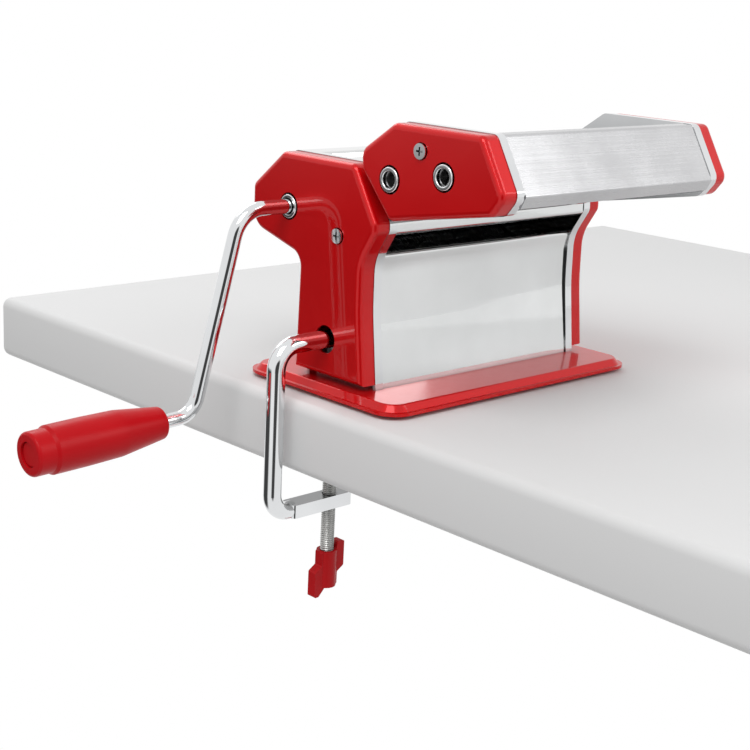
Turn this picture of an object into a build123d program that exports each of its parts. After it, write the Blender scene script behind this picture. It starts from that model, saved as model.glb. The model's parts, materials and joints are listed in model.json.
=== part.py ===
"""Hand-cranked pasta roller machine with a clip-on cutter, a crank and a table clamp.

X runs along the rollers with the crank end at -X, the cutter is at -Y, and +Z is up.
The origin is on the table top under the middle of the base.
"""

import os
from math import atan2, cos, degrees, hypot, pi, radians, sin, tan

from build123d import *

os.makedirs("parts", exist_ok=True)

# ---------------------------------------------------------------- driving dimensions (mm)

# Widths along X, each counted outwards from the rollers
sheet_width = 150.0  # widest dough sheet, and the length of the roller faces
roller_end_gap = 1.5  # roller face end to side frame
web_thickness = 2.5  # flat of a pressed side frame
flange_width = 5.5  # rim of a side frame that shows beside the cover
cover_depth = 10.5  # side cover from the frame rim to its face
cover_wall = 1.3
cover_edge_radius = 3.2
flange_proud = 0.4  # frame rim stands this much outside the cover
rim_wall = 1.6
run_gap = 0.3  # gap between faces that pass each other

# Base
base_length = 191.0  # flat top, along X
base_width = 112.0  # flat top, along Y
base_side_slope = 3.0  # the pressed side flares out by this much
base_lip = 2.0  # thin lip outside the flared side
base_lip_z = 2.2  # underside of the lip
base_lip_height = 1.8
base_height = 7.5  # flat top above the table
base_wall = 1.2
base_corner_radius = 9.0
foot_radius = 7.0
foot_inset_x = 11.0
foot_inset_y = 9.0
cover_foot_gap = 3.2  # red cover ends this far above the base

# Sheeting rollers
roller_diameter = 28.0
roller_y, roller_height = 35.0, 91.0  # crank-driven roller's axis
gap_thickest, gap_thinnest = 3.0, 0.3  # dough thickness at the ends of the dial
journal_diameter = 11.0
plain_journal_diameter = 10.0
bush_wall = 3.5
run_fit = 0.05  # radial clearance of a running fit
gear_teeth = 16
sheeting_addendum = 1.14  # in modules; long, to stay in mesh as the roller gap changes
cutter_addendum = 0.9
gear_dedendum = 1.2
gear_face = 5.0
gear_start = 0.5  # gear's inner face outside the frame rim

# Side outline, as heights above the base and distances in Y
foot_front_y, foot_rear_y = -29.5, 26.5
waist_front_y, waist_rear_y = -24.0, 25.0
waist_height = 42.5
slide_gap = 3.8  # way for the sheet between the rollers and the slide under them
slide_rise = 3.2  # slide above the throat's corner
throat_y = -23.5
throat_height = roller_height - roller_diameter / 2 - slide_gap - slide_rise
head_height = roller_height + 29.0
head_front_y, head_top_y = -16.0, 42.0
head_front_drop = 29.0  # the head's front slopes down from its top by this much
tip_flat = 4.5
tip_y = -33.5
tip_height = head_height - head_front_drop
tip_low_height = tip_height - tip_flat
neck_height = roller_height - 25.5
head_rear_y = 66.5
head_rear_low, head_rear_high = roller_height - 14.0, roller_height + 8.8

# Gap regulator on the far side
regulator_steps = 9
regulator_step_angle = 36.0
block_size = 20.0
block_thickness = 5.2
scroll_radius = 13.5
scroll_thickness = 3.0
scroll_start_radius = 7.5
scroll_pin_radius = 1.5
hub_radius = 6.5
neck_radius = 5.0
stem_side = 5.0
spring_pocket_radius = 4.3
spring_pocket_depth = 6.2
knob_radius = 12.5
knob_length = 13.0
knob_pull = 3.5
dial_radius = 15.5
dial_thickness = 1.6
dial_hole_circle = 9.5
index_pin_radius = 1.2

# Crank
rod_diameter = 8.0
rod_fit = 0.075  # radial clearance of the crank in its sockets
rod_depth = 27.0  # crank end inside the cover face
drive_flat = 5.6  # width across the flats at the crank's end
drive_flat_length = 13.0
flat_relief = 0.35  # the bore is this much wider than the rod between its flats
socket_diameter = 13.0
socket_hole_diameter = 15.0
socket_proud = 0.7
crank_reach = 33.0  # shaft from the cover face to the upper bend
crank_drop = 111.8
crank_lean = 21.5  # the arm leans outwards by this much on the way down
crank_swing = 10.0  # and towards the rear by this much
handle_droop = 2.2  # degrees
upper_bend_radius = 17.0
lower_bend_radius = 13.0
handle_start = 21.5  # from the lower bend's corner to the grip
handle_length = 80.5
handle_diameter = 25.8
handle_inner_diameter = 17.6
handle_end_diameter = 23.4
handle_cap = 11.0  # the narrower stretch at the outer end
handle_taper = 28.0  # stretch that widens from the inner end
handle_recess_diameter = 13.6
handle_recess_depth = 2.5

# Table clamp
clamp_y, clamp_height = 1.2, 23.5
clamp_rod_diameter = 10.0
clamp_hole_diameter = 15.5
clamp_depth = 46.0  # upper arm inside the cover face
clamp_reach = 33.5  # cover face to the outer column
clamp_drop = 93.0
clamp_bend_radius = 13.0
clamp_lower_bend_radius = 11.0
clamp_screw_reach = 41.5  # column to screw
clamp_bar_width = 11.5
clamp_bar_thickness = 7.5
clamp_bar_tip = 13.0  # bar beyond the screw
screw_diameter = 8.0
table_thickness = 40.0  # the table that the clamp is shown closed on
pad_radius = 10.0
pad_thickness = 5.5
knob_drop = 26.0  # clamp bar to the wing knob
wing_hub_radius = 5.8
wing_hub_height = 21.5
wing_span = 21.0
wing_height = 17.0
wing_thickness = 6.0
wing_rise = 4.0  # the upper wing stands above the hub by this much
wing_drop = 5.0  # and the lower wing hangs below it by this much

# Cutter attachment. Its places are counted from the middle of the rail: the first number runs down
# the head's sloping front and the second runs straight out from it.
cutter_rear_low = (16.0, 9.3)
cutter_rear_mid = (-15.7, 3.2)
cutter_rear_high = (-25.0, 7.1)
cutter_top_rear = (-26.6, 35.5)
cutter_top_front = (4.7, 87.3)
cutter_nose = (37.1, 86.8)
cutter_nose_low = (41.4, 75.6)
wide_axis = (-2.4, 20.2)
narrow_axis = (11.9, 55.3)
cutter_screw = (-5.8, 47.0)
cutter_rods = [(9.5, 13.1), (19.3, 39.9), (30.6, 78.1)]
cutter_roller_diameter = 18.4
cutter_overlap = 1.4  # how far the discs of a pair run into each other
groove_depth = 2.2
wide_strand = 6.5
narrow_strand = 2.0
disc_side_gap = 0.15
cutter_travel = 160.0

# Rail between head and cutter
rail_from_top = 20.0  # along the sloping head front, from its top corner
rail_stem = 4.0
rail_head = 9.0
rail_head_thickness = 1.3
rail_lip_gap = 0.9
rail_lip = 1.4
rail_wall = 1.4

# Small parts
sheet = 0.8  # thickness of the polished panels
tie_rod_diameter = 6.0
nut_size = 9.0
nut_thickness = 3.0
screw_head_radius = 4.0
screw_head_height = 2.2
screw_shank_radius = 2.0
screw_dimple = 1.0
screw_boss_wall = 0.8
body_screw = (-5.5, roller_height - 10.1)  # on the crank side
far_body_screw = (1.0, roller_height - 29.0)  # on the regulator's side
screw_bracket_foot = (-14.5, roller_height - 17.5)
body_rods = [(55.0, roller_height - 5.5), (-19.0, roller_height + 11.0), (0.0, 42.5), (15.0, 11.0)]
screw_bracket_thickness = 1.5

# ---------------------------------------------------------------- places worked out from them

frame_x = sheet_width / 2 + roller_end_gap  # inner face of a side frame
web_x = frame_x + web_thickness
rim_x = frame_x + flange_width
face_x = rim_x + cover_depth  # outer face of a side cover
gear_x = rim_x + gear_start
gear_end = gear_x + gear_face
journal_end = face_x - cover_wall - 0.7  # outer end of a driven roller's journal
roller_z = base_height + roller_height
roller_radius = roller_diameter / 2
gap_travel = gap_thickest - gap_thinnest
idle_y = roller_y - roller_diameter - gap_thickest  # adjustable roller's axis at the widest gap
head_slope = (tip_y - head_front_y, tip_height - head_height)
head_slope_length = hypot(*head_slope)
rail_down = (head_slope[0] / head_slope_length, head_slope[1] / head_slope_length)
rail_out = (rail_down[1], -rail_down[0])
rail_centre = (
    head_front_y + rail_down[0] * rail_from_top,
    base_height + head_height + rail_down[1] * rail_from_top,
)
pair_pitch = cutter_roller_diameter - cutter_overlap


def raised(point):
    """Turn a point given by its height above the base into one above the table."""
    return (point[0], point[1] + base_height)


def on_slope(down, out):
    """Place on the head's sloping front: down along it and out from it, counted from the rail's middle."""
    return (
        rail_centre[0] + rail_down[0] * down + rail_out[0] * out,
        rail_centre[1] + rail_down[1] * down + rail_out[1] * out,
    )


def export(builder, name):
    """Label a finished piece and write it."""
    builder.part.label = name
    export_step(builder.part, f"parts/{name}.step")


wide_driven_axis = on_slope(*wide_axis)
narrow_driven_axis = on_slope(*narrow_axis)
axis_step = (narrow_driven_axis[0] - wide_driven_axis[0], narrow_driven_axis[1] - wide_driven_axis[1])
pair_share = pair_pitch / hypot(*axis_step)
pair_offset = (axis_step[0] * pair_share, axis_step[1] * pair_share)

# ---------------------------------------------------------------- shared profiles and features


def body_outline(x, grow=0.0, foot_z=base_height):
    """Side outline of the body at one X, grown outwards, cut off level at foot_z."""
    below = -5.0
    points = [
        (foot_rear_y, below),
        (waist_rear_y, neck_height),
        (head_rear_y, head_rear_low),
        (head_rear_y, head_rear_high),
        (head_top_y, head_height),
        (head_front_y, head_height),
        (tip_y, tip_height),
        (tip_y, tip_low_height),
        (throat_y, throat_height),
        (waist_front_y, waist_height),
        (foot_front_y, below),
    ]
    radii = [0, 9, 12, 5, 5, 5, 4.5, 4.5, 25, 150, 0]
    with BuildSketch(Plane.YZ.offset(x)) as outline:
        with BuildLine():
            FilletPolyline(*[raised(p) for p in points], radius=radii, close=True)
        make_face()
        if grow:
            offset(amount=grow)
        with Locations((0, foot_z - 50)):
            Rectangle(400, 100, mode=Mode.SUBTRACT)
    return outline.sketch


def cutter_outline(x, grow=0.0):
    """End outline of the cutter attachment at one X."""
    points = [
        cutter_rear_low,
        cutter_rear_mid,
        cutter_rear_high,
        cutter_top_rear,
        cutter_top_front,
        cutter_nose,
        cutter_nose_low,
    ]
    with BuildSketch(Plane.YZ.offset(x)) as outline:
        with BuildLine():
            FilletPolyline(*[on_slope(*p) for p in points], radius=[4.5, 6, 7, 5, 4.5, 6, 6], close=True)
        make_face()
        if grow:
            offset(amount=grow)
    return outline.sketch


def bar(centre, radius, x_start, x_end, mode=Mode.ADD):
    """Round bar along X between two places, given by its centre in Y and Z."""
    with BuildSketch(Plane.YZ.offset(x_start)) as section:
        with Locations(centre):
            Circle(radius)
    extrude(section.sketch, amount=x_end - x_start, mode=mode)


def ring(centre, outer_radius, inner_radius, x_start, x_end):
    """Round sleeve along X."""
    with BuildSketch(Plane.YZ.offset(x_start)) as section:
        with Locations(centre):
            Circle(outer_radius)
            Circle(inner_radius, mode=Mode.SUBTRACT)
    extrude(section.sketch, amount=x_end - x_start)


def block(centre, size_y, size_z, x_start, x_end, mode=Mode.ADD):
    """Square-sided bar along X."""
    with BuildSketch(Plane.YZ.offset(x_start)) as section:
        with Locations(centre):
            Rectangle(size_y, size_z)
    extrude(section.sketch, amount=x_end - x_start, mode=mode)


def polygon(points, x_start, x_end, mode=Mode.ADD):
    """Straight-sided section in Y and Z carried along X."""
    with BuildSketch(Plane.YZ.offset(x_start)) as section:
        with BuildLine():
            Polyline(*points, close=True)
        make_face()
    extrude(section.sketch, amount=x_end - x_start, mode=mode)


def bent_sheet(points, radii, inward, half_length):
    """Sheet bent along a line in Y and Z, carried along X and cut off level with the base."""
    with BuildSketch(Plane.YZ.offset(-half_length)) as section:
        with BuildLine():
            FilletPolyline(*points, radius=radii)
            offset(amount=sheet, side=inward)
        make_face()
        with Locations((0, base_height - 50)):
            Rectangle(400, 100, mode=Mode.SUBTRACT)
    extrude(section.sketch, amount=2 * half_length)


def gear(centre, pitch_radius, addendum, x_start, x_end, turn):
    """Spur gear with straight-flanked teeth and generous backlash; turn is in degrees."""
    module = 2 * pitch_radius / gear_teeth
    root, tip = pitch_radius - gear_dedendum * module, pitch_radius + addendum * module
    pitch_angle = 2 * pi / gear_teeth
    points = []
    for tooth in range(gear_teeth):
        middle = tooth * pitch_angle + radians(turn)
        for radius, share in ((root, -0.27), (tip, -0.11), (tip, 0.11), (root, 0.27)):
            angle = middle + share * pitch_angle
            points.append((centre[0] + radius * cos(angle), centre[1] + radius * sin(angle)))
    polygon(points, x_start, x_end)


def drive_bore(centre, side):
    """Blind crank bore from the journal's end, with flats at its bottom."""
    mouth = side * (journal_end + 1.0)
    depth = face_x - rod_depth - 1.0
    flats_start = face_x - rod_depth + drive_flat_length - 1.0
    bar(centre, rod_diameter / 2 + rod_fit, side * flats_start, mouth, mode=Mode.SUBTRACT)
    with BuildSketch(Plane.YZ.offset(side * depth)) as keyed:
        with Locations(centre):
            Circle(rod_diameter / 2 + flat_relief)
            Rectangle(drive_flat + 2 * rod_fit, rod_diameter * 2, mode=Mode.INTERSECT)
    extrude(keyed.sketch, amount=side * (flats_start - depth), mode=Mode.SUBTRACT)


def screw_dimple_cut(centre, side):
    """Round dimple and through hole for a cover screw."""
    bar(centre, screw_head_radius + 0.5, side * (face_x - screw_dimple), side * (face_x + 1), Mode.SUBTRACT)
    bar(centre, screw_shank_radius, side * frame_x, side * face_x, Mode.SUBTRACT)


def cover(outline, side, boss, boss_start, holes, name):
    """Red side cover: a shell with rounded edges, a screw boss and its holes."""
    with BuildPart() as shell:
        extrude(outline(side * rim_x), amount=side * cover_depth)
        outer_face = shell.faces().sort_by(Axis.X)[-1 if side > 0 else 0]
        fillet(outer_face.edges(), radius=cover_edge_radius)
        extrude(outline(side * rim_x, -2.0), amount=side * (cover_depth - cover_wall), mode=Mode.SUBTRACT)
        boss_radius = screw_head_radius + screw_boss_wall
        bar(boss, boss_radius, side * boss_start, side * (face_x - cover_wall / 2))
        screw_dimple_cut(boss, side)
        for centre, radius in holes:
            bar(centre, radius, side * rim_x, side * (face_x + 1), Mode.SUBTRACT)
    export(shell, name)


def pan_frame(outline, side):
    """Pressed side frame: a flat with a rim turned outwards. Call inside a part."""
    extrude(outline(side * frame_x, flange_proud), amount=side * flange_width)
    extrude(outline(side * web_x, -rim_wall), amount=side * (flange_width), mode=Mode.SUBTRACT)


def cover_screw(centre, side, shank_end):
    """Pan-head screw with a cross recess, seated in its dimple."""
    seat = side * (face_x - screw_dimple)
    top = side * (face_x - screw_dimple + screw_head_height)
    bar(centre, screw_head_radius, seat, top)
    bar(centre, screw_shank_radius, side * shank_end, seat)
    for size_y, size_z in ((4.4, 1.0), (1.0, 4.4)):
        block(centre, size_y, size_z, side * (face_x - screw_dimple + 1.0), top, Mode.SUBTRACT)


# ---------------------------------------------------------------- base

with BuildPart() as base_plate:
    side_z = base_lip_z + base_lip_height
    flare = 2 * base_side_slope
    with BuildSketch(Plane.XY.offset(side_z)):
        RectangleRounded(base_length + flare, base_width + flare, base_corner_radius + base_side_slope)
    with BuildSketch(Plane.XY.offset(base_height)):
        RectangleRounded(base_length, base_width, base_corner_radius)
    loft()
    fillet(base_plate.faces().sort_by(Axis.Z)[-1].edges(), radius=1.2)
    with BuildSketch(Plane.XY.offset(base_lip_z)):
        RectangleRounded(
            base_length + flare + 2 * base_lip,
            base_width + flare + 2 * base_lip,
            base_corner_radius + base_side_slope + base_lip,
        )
    extrude(amount=base_lip_height)
    with BuildSketch(Plane.XY.offset(base_lip_z)):
        RectangleRounded(
            base_length - 2 * base_wall, base_width - 2 * base_wall, base_corner_radius - base_wall
        )
    extrude(amount=base_height - base_wall - base_lip_z, mode=Mode.SUBTRACT)
export(base_plate, "base_plate")

with BuildPart() as rubber_feet:
    with BuildSketch():
        with GridLocations(base_length - 2 * foot_inset_x, base_width - 2 * foot_inset_y, 2, 2):
            Circle(foot_radius)
    extrude(amount=base_height - base_wall)
    fillet(rubber_feet.faces().group_by(Axis.Z)[0].edges(), radius=0.8)
export(rubber_feet, "rubber_feet")

# ---------------------------------------------------------------- side frames and covers

driven_axis = (roller_y, roller_z)
idle_axis = (idle_y, roller_z)
clamp_axis = (clamp_y, base_height + clamp_height)
body_screw_axis = raised(body_screw)
far_screw_axis = raised(far_body_screw)
bracket_foot_axis = raised(screw_bracket_foot)
bracket_x = gear_end + 0.7  # inner face of the crank side's screw bracket
tie_rod_axes = [raised(p) for p in body_rods]
bush_radius = journal_diameter / 2 + bush_wall

for side, name in ((-1, "crank_side_frame"), (1, "far_side_frame")):
    with BuildPart() as frame:
        pan_frame(body_outline, side)
        window_y = idle_y + gap_travel / 2
        window = block_size + gap_travel + 0.2
        block(
            (window_y, roller_z), window, block_size + 2 * run_fit, side * (frame_x - 1), side * (rim_x + 1),
            Mode.SUBTRACT,
        )
        bar(driven_axis, bush_radius, side * (frame_x - 1), side * (rim_x + 1), Mode.SUBTRACT)
        if side > 0:
            bar(far_screw_axis, screw_shank_radius, side * (frame_x - 1), side * rim_x, Mode.SUBTRACT)
        for axis in tie_rod_axes:
            bar(axis, tie_rod_diameter / 4, side * (frame_x - 1), side * rim_x, Mode.SUBTRACT)
        if side < 0:
            bar(clamp_axis, clamp_rod_diameter / 2 + 2.0, side * (frame_x - 1), side * rim_x, Mode.SUBTRACT)
    export(frame, name)


def body_cover_outline(x, grow=0.0):
    """Outline of a body cover, which ends above the base."""
    foot = base_height + cover_foot_gap
    return body_outline(x, grow, foot if grow == 0 else foot - grow)


cover(
    body_cover_outline, -1, body_screw_axis, bracket_x + screw_bracket_thickness,
    [(driven_axis, socket_hole_diameter / 2), (clamp_axis, clamp_hole_diameter / 2)],
    "crank_side_cover",
)
cover(body_cover_outline, 1, far_screw_axis, web_x, [(idle_axis, neck_radius + run_fit)], "far_side_cover")

with BuildPart() as tie_rods:
    for axis in tie_rod_axes:
        bar(axis, tie_rod_diameter / 2, -frame_x, frame_x)
        bar(axis, tie_rod_diameter / 4, -web_x - nut_thickness, web_x + nut_thickness)
export(tie_rods, "frame_tie_rods")

with BuildPart() as nuts:
    for side in (-1, 1):
        for axis in tie_rod_axes:
            with BuildSketch(Plane.YZ.offset(side * web_x)) as nut:
                with Locations(axis):
                    RegularPolygon(nut_size / 2, 6, major_radius=False)
                    Circle(tie_rod_diameter / 4, mode=Mode.SUBTRACT)
            extrude(nut.sketch, amount=side * (nut_thickness - 0.4))
export(nuts, "tie_rod_nuts")

with BuildPart() as screws:
    cover_screw(body_screw_axis, -1, bracket_x)
    cover_screw(far_screw_axis, 1, frame_x)
export(screws, "cover_screws")

with BuildPart() as screw_bracket:
    bar(bracket_foot_axis, 3.0, -web_x, -bracket_x)
    lug_y = (bracket_foot_axis[0] + body_screw_axis[0]) / 2
    lug_z = (bracket_foot_axis[1] + body_screw_axis[1]) / 2
    lug_step = (body_screw_axis[0] - bracket_foot_axis[0], body_screw_axis[1] - bracket_foot_axis[1])
    with BuildSketch(Plane.YZ.offset(-bracket_x)) as lug:
        with Locations(Location((lug_y, lug_z), degrees(atan2(lug_step[1], lug_step[0])))):
            SlotCenterToCenter(hypot(*lug_step), 2 * (screw_shank_radius + 2.0))
        with Locations(body_screw_axis):
            Circle(screw_shank_radius, mode=Mode.SUBTRACT)
    extrude(lug.sketch, amount=-screw_bracket_thickness)
export(screw_bracket, "screw_bracket")

# ---------------------------------------------------------------- polished panels of the body

slide_front = (throat_y - 1.2, base_height + throat_height + slide_rise)
slide_rear = (21.0, slide_front[1])
with BuildPart() as chute_panel:
    bent_sheet(
        [
            (foot_front_y + 1.0, base_height),
            (waist_front_y + 1.0, base_height + waist_height),
            (throat_y + 1.0, base_height + throat_height - 6.0),
            slide_front,
            slide_rear,
            (slide_rear[0] + 2.5, slide_rear[1] - 3.0),
        ],
        [150, 25, 2.0, 1.5],
        Side.RIGHT,
        frame_x,
    )
export(chute_panel, "chute_panel")

head_top_z = base_height + head_height
tip_low_z = base_height + tip_low_height
with BuildPart() as front_head_plate:
    bent_sheet(
        [
            (head_front_y + 7.0, head_top_z),
            (head_front_y, head_top_z),
            (tip_y, base_height + tip_height),
            (tip_y, tip_low_z - 1.0),
            (tip_y + 4.0, tip_low_z - 3.0),
        ],
        [3.0, 4.0, 1.6],
        Side.LEFT,
        frame_x,
    )
export(front_head_plate, "front_head_plate")

rear_top_z = head_top_z - sheet
rear_slope = (head_rear_y - head_top_y) / (head_height - head_rear_high)
rear_panel_end = (head_top_y - 0.8 + rear_slope * sheet, rear_top_z)
with BuildPart() as rear_panel:
    bent_sheet(
        [
            (foot_rear_y - 0.8, base_height),
            (waist_rear_y - 0.8, base_height + neck_height),
            (head_rear_y - 0.8, base_height + head_rear_low + 0.6),
            (head_rear_y - 0.8, base_height + head_rear_high),
            rear_panel_end,
        ],
        [9, 11, 4],
        Side.LEFT,
        frame_x,
    )
export(rear_panel, "rear_panel")

inlet_front_y = roller_y - roller_radius - gap_thickest / 2 - 10.5
inlet_rear_y = roller_y - roller_radius - gap_thickest / 2 + 10.5
lip_z = roller_z + roller_radius - 0.5
lip_narrowing = 5.5
for name, outer_y, inner_y, lip_y, inward in (
    ("front_hopper_plate", head_front_y + 7.0, inlet_front_y, inlet_front_y + lip_narrowing, Side.RIGHT),
    ("rear_hopper_plate", head_top_y + 1.0, inlet_rear_y, inlet_rear_y - lip_narrowing, Side.LEFT),
):
    with BuildPart() as hopper_plate:
        bent_sheet([(outer_y, head_top_z), (inner_y, head_top_z), (lip_y, lip_z)], [2.0], inward, frame_x)
    export(hopper_plate, name)



def rear_ledge(y):
    """Place on the inner face of the rear panel's ledge under the driven roller."""
    run, rise = head_rear_y - waist_rear_y, head_rear_low + 0.6 - neck_height
    fall = (y - waist_rear_y + 0.8) * rise / run
    return (y, base_height + neck_height + fall + sheet * hypot(run, rise) / run)


with BuildPart() as scraper:
    blade_angle = radians(-32)
    reach = roller_radius + run_gap
    edge = (roller_y + reach * cos(blade_angle), roller_z + reach * sin(blade_angle))
    bent_sheet([edge, rear_ledge(edge[0] + 4.5), rear_ledge(edge[0] + 10.5)], [1.5], Side.LEFT, frame_x)
export(scraper, "driven_roller_scraper")



rail_stem_half, rail_head_half = rail_stem / 2, rail_head / 2
rail_head_low = rail_lip_gap + rail_lip + run_gap
rail_head_high = rail_head_low + rail_head_thickness
with BuildPart() as rail:
    polygon(
        [on_slope(*p) for p in (
            (-rail_stem_half, 0), (-rail_stem_half, rail_head_low),
            (-rail_head_half, rail_head_low), (-rail_head_half, rail_head_high),
            (rail_head_half, rail_head_high), (rail_head_half, rail_head_low),
            (rail_stem_half, rail_head_low), (rail_stem_half, 0),
        )],
        -sheet_width / 2, sheet_width / 2,
    )
export(rail, "attachment_rail")

with BuildPart() as sleeve:
    ring(clamp_axis, clamp_rod_diameter / 2 + 2.0, clamp_rod_diameter / 2 + run_fit, -web_x, clamp_depth * 0.95 - face_x)
    ring(clamp_axis, clamp_rod_diameter / 2 + 5.0, clamp_rod_diameter / 2 + 2.0, -frame_x, -frame_x + 2.0)
export(sleeve, "clamp_sleeve")

# ---------------------------------------------------------------- sheeting rollers and their drive

with BuildPart() as bushes:
    ring(driven_axis, bush_radius, journal_diameter / 2 + run_fit, -frame_x, -rim_x)
    ring(driven_axis, bush_radius, plain_journal_diameter / 2 + run_fit, frame_x, rim_x)
export(bushes, "driven_roller_bushes")

with BuildPart() as driven_roller:
    bar(driven_axis, roller_radius, -sheet_width / 2, sheet_width / 2)
    chamfer(driven_roller.edges().filter_by(GeomType.CIRCLE), length=0.5)
    bar(driven_axis, journal_diameter / 2, -journal_end, 0)
    bar(driven_axis, plain_journal_diameter / 2, 0, rim_x)
    drive_bore(driven_axis, -1)
export(driven_roller, "driven_roller")

with BuildPart() as driven_gear:
    gear(driven_axis, roller_radius, sheeting_addendum, -gear_x, -gear_end, 0)
    bar(driven_axis, journal_diameter / 2, -gear_x, -gear_end, Mode.SUBTRACT)
export(driven_gear, "driven_gear")


def socket_ring(centre, name):
    """Chromed ring round the crank hole, on the end of a driven roller's journal."""
    with BuildPart() as socket:
        ring(centre, socket_diameter / 2, rod_diameter / 2 + 0.4, -journal_end, -face_x - socket_proud)
        fillet(socket.faces().sort_by(Axis.X)[0].edges(), radius=0.6)
    export(socket, name)


socket_ring(driven_axis, "crank_socket")

with BuildPart() as adjustable_roller:
    bar(idle_axis, roller_radius, -sheet_width / 2, sheet_width / 2)
    chamfer(adjustable_roller.edges().filter_by(GeomType.CIRCLE), length=0.5)
    bar(idle_axis, plain_journal_diameter / 2, -gear_end, frame_x - run_gap + block_thickness)
export(adjustable_roller, "adjustable_roller")

with BuildPart() as adjustable_gear:
    gear(idle_axis, roller_radius, sheeting_addendum, -gear_x, -gear_end, 180 / gear_teeth)
    bar(idle_axis, plain_journal_diameter / 2, -gear_x, -gear_end, Mode.SUBTRACT)
export(adjustable_gear, "adjustable_gear")

# ---------------------------------------------------------------- gap regulator

block_x = frame_x - run_gap
pin_y = idle_y + scroll_start_radius
scroll_x = block_x + block_thickness + 1.5
with BuildPart() as bearing_blocks:
    for side in (-1, 1):
        block(idle_axis, block_size, block_size, side * block_x, side * (block_x + block_thickness))
        bar(idle_axis, plain_journal_diameter / 2 + run_fit, side * frame_x * 0.9, side * face_x, Mode.SUBTRACT)
    bar((pin_y, roller_z), scroll_pin_radius, block_x + block_thickness - 1.0, scroll_x + scroll_thickness)
export(bearing_blocks, "bearing_blocks")

yoke_plate = roller_end_gap - 2 * run_gap
yoke_bar_y = idle_y - roller_radius - 4.5
with BuildPart() as yoke:
    for side in (-1, 1):
        block(
            ((yoke_bar_y + idle_y + 8.0) / 2, roller_z), idle_y + 8.0 - yoke_bar_y, 14.0,
            side * (block_x - yoke_plate), side * block_x,
        )
        bar(idle_axis, plain_journal_diameter / 2 + 0.3, side * (block_x - 2), side * (block_x + 1), Mode.SUBTRACT)
    block((yoke_bar_y + 1.0, roller_z), 2.0, 14.0, -block_x, block_x)
    polygon(
        [
            (yoke_bar_y + 1.0, roller_z - 7.0),
            (idle_y - roller_radius * cos(radians(20)) - 1.1, roller_z - 7.0),
            (idle_y - (roller_radius + 0.3) * cos(radians(14)), roller_z - roller_radius * sin(radians(14))),
            (yoke_bar_y + 1.0, roller_z - 4.5),
        ],
        1.0 - sheet_width / 2, sheet_width / 2 - 1.0,
    )
export(yoke, "adjusting_yoke")

regulator_range = regulator_steps * regulator_step_angle


def scroll_point(angle_deg, shift):
    """Point on one wall of the scroll's groove, shifted from its middle line."""
    radius = scroll_start_radius + gap_travel * angle_deg / regulator_range + shift
    angle = radians(angle_deg)
    return (idle_y + radius * cos(angle), roller_z + radius * sin(angle))


groove_half = scroll_pin_radius + 0.15
hub_end = face_x - cover_wall - 0.2
neck_end = face_x + dial_thickness + 1.2
with BuildPart() as scroll:
    bar(idle_axis, scroll_radius, scroll_x, scroll_x + scroll_thickness)
    bar(idle_axis, hub_radius - 0.9, scroll_x, hub_end)
    bar(idle_axis, neck_radius, scroll_x, neck_end)
    walls = [[scroll_point(a * regulator_range / 18, s) for a in range(19)] for s in (groove_half, -groove_half)]
    with BuildSketch(Plane.YZ.offset(scroll_x - 1)) as groove:
        with BuildLine():
            Spline(*walls[0])
            Spline(*walls[1])
            Line(walls[0][0], walls[1][0])
            Line(walls[0][-1], walls[1][-1])
        make_face()
        with Locations(scroll_point(0, 0), scroll_point(regulator_range, 0)):
            Circle(groove_half)
    extrude(groove.sketch, amount=scroll_thickness + 2, mode=Mode.SUBTRACT)
    bar(idle_axis, spring_pocket_radius, scroll_x, scroll_x + spring_pocket_depth, Mode.SUBTRACT)
    block(idle_axis, stem_side + 2 * run_fit, stem_side + 2 * run_fit, scroll_x, neck_end, Mode.SUBTRACT)
export(scroll, "regulator_scroll")

knob_x = neck_end + run_gap
clip_thickness = 0.8
with BuildPart() as stem:
    block(idle_axis, stem_side, stem_side, scroll_x + clip_thickness, knob_x)
    bar(idle_axis, spring_pocket_radius - 0.3, scroll_x + 0.1, scroll_x + 0.1 + clip_thickness)
    bar(idle_axis, stem_side / 2, knob_x, knob_x + knob_length - 3.0)
export(stem, "regulator_stem")

with BuildPart() as spring:
    ring(
        idle_axis, spring_pocket_radius - 0.15, stem_side * 0.72,
        scroll_x + 0.1 + clip_thickness, scroll_x + spring_pocket_depth,
    )
export(spring, "regulator_spring")

with BuildPart() as knob:
    bar(idle_axis, knob_radius, knob_x, knob_x + knob_length)
    fillet(knob.faces().sort_by(Axis.X)[-1].edges(), radius=2.0)
    grip_count = 12
    for grip in range(grip_count):
        angle = 2 * pi * (grip + 0.5) / grip_count
        centre = (idle_y + (knob_radius + 1.2) * cos(angle), roller_z + (knob_radius + 1.2) * sin(angle))
        bar(centre, 2.2, knob_x + 3.0, knob_x + knob_length + 1, Mode.SUBTRACT)
    bar(idle_axis, stem_side / 2, knob_x - 1, knob_x + knob_length - 3.0, Mode.SUBTRACT)
    index_y = idle_y + dial_hole_circle
    bar((index_y, roller_z), index_pin_radius, face_x + dial_thickness + 0.2, knob_x + 1.0)
export(knob, "regulator_knob")

with BuildPart() as dial:
    ring(idle_axis, dial_radius, neck_radius + 0.4, face_x, face_x + dial_thickness)
    for step in range(regulator_steps + 1):
        angle = radians(step * regulator_step_angle)
        centre = (idle_y + dial_hole_circle * cos(angle), roller_z + dial_hole_circle * sin(angle))
        bar(centre, index_pin_radius + 0.1, face_x + 0.4, face_x + dial_thickness + 1, Mode.SUBTRACT)
export(dial, "regulator_dial")

# ---------------------------------------------------------------- crank

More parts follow.
